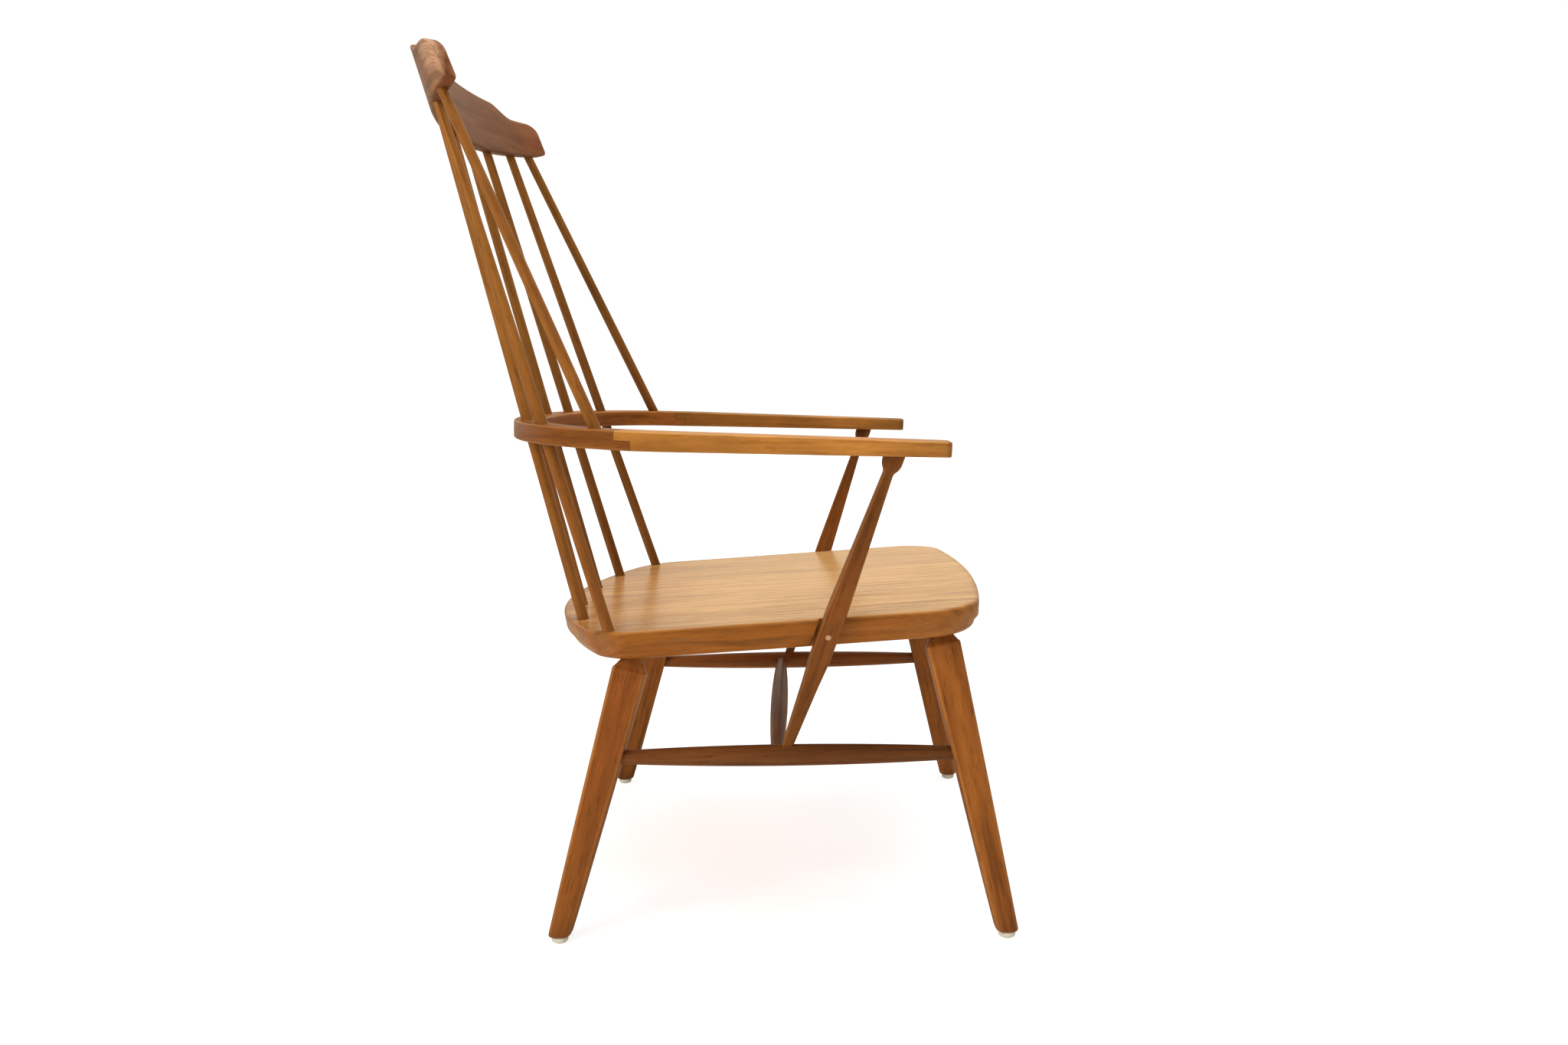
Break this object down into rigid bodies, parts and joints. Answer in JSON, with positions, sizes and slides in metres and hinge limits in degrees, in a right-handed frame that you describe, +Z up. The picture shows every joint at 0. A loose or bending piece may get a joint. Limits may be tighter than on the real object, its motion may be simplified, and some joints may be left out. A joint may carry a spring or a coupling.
{
  "type": "comb-back spindle armchair",
  "caption": "Wooden comb-back armchair: plank seat on splayed tapered legs, bent arm rail on slanted posts, tall spindles up to a shaped crest rail.",
  "frame": {"origin": "on the floor, under the middle of the box round the chair", "axes": "+Z up, -Y towards the front of the seat, +X towards the sitter's left arm"},
  "size_m": [0.603, 0.7104, 1.0539],
  "materials": {
    "seat_wood": "light tan wood, satin, grain from front to back",
    "leg_wood": "warm orange brown wood, satin",
    "stretcher_wood": "dark reddish brown wood, satin",
    "arm_wood": "orange brown wood, satin",
    "bow_wood": "reddish brown wood, satin",
    "spindle_wood": "reddish brown wood, satin",
    "crest_wood": "brown wood, satin",
    "plug_wood": "light wood, satin",
    "glide_plastic": "cream plastic, matt",
    "screw_steel": "plain steel, hidden under the plug"
  },
  "bodies": {
    "root": {"seat": "seat_wood", "leg_front_left": "leg_wood", "glide_front_left": "glide_plastic", "leg_front_right": "leg_wood", "glide_front_right": "glide_plastic", "leg_rear_left": "leg_wood", "glide_rear_left": "glide_plastic", "leg_rear_right": "leg_wood", "glide_rear_right": "glide_plastic", "side_stretcher_left": "stretcher_wood", "side_stretcher_right": "stretcher_wood", "cross_stretcher": "stretcher_wood", "arm_post_left": "leg_wood", "arm_left": "arm_wood", "screw_left": "screw_steel", "plug_left": "plug_wood", "arm_post_right": "leg_wood", "arm_right": "arm_wood", "screw_right": "screw_steel", "plug_right": "plug_wood", "back_bow": "bow_wood", "crest_rail": "crest_wood", "spindle_inner_left": "spindle_wood", "spindle_inner_right": "spindle_wood", "spindle_middle_left": "spindle_wood", "spindle_middle_right": "spindle_wood", "spindle_outer_left": "spindle_wood", "spindle_outer_right": "spindle_wood", "spindle_short_left": "spindle_wood", "spindle_short_right": "spindle_wood"}
  },
  "joints": []
}
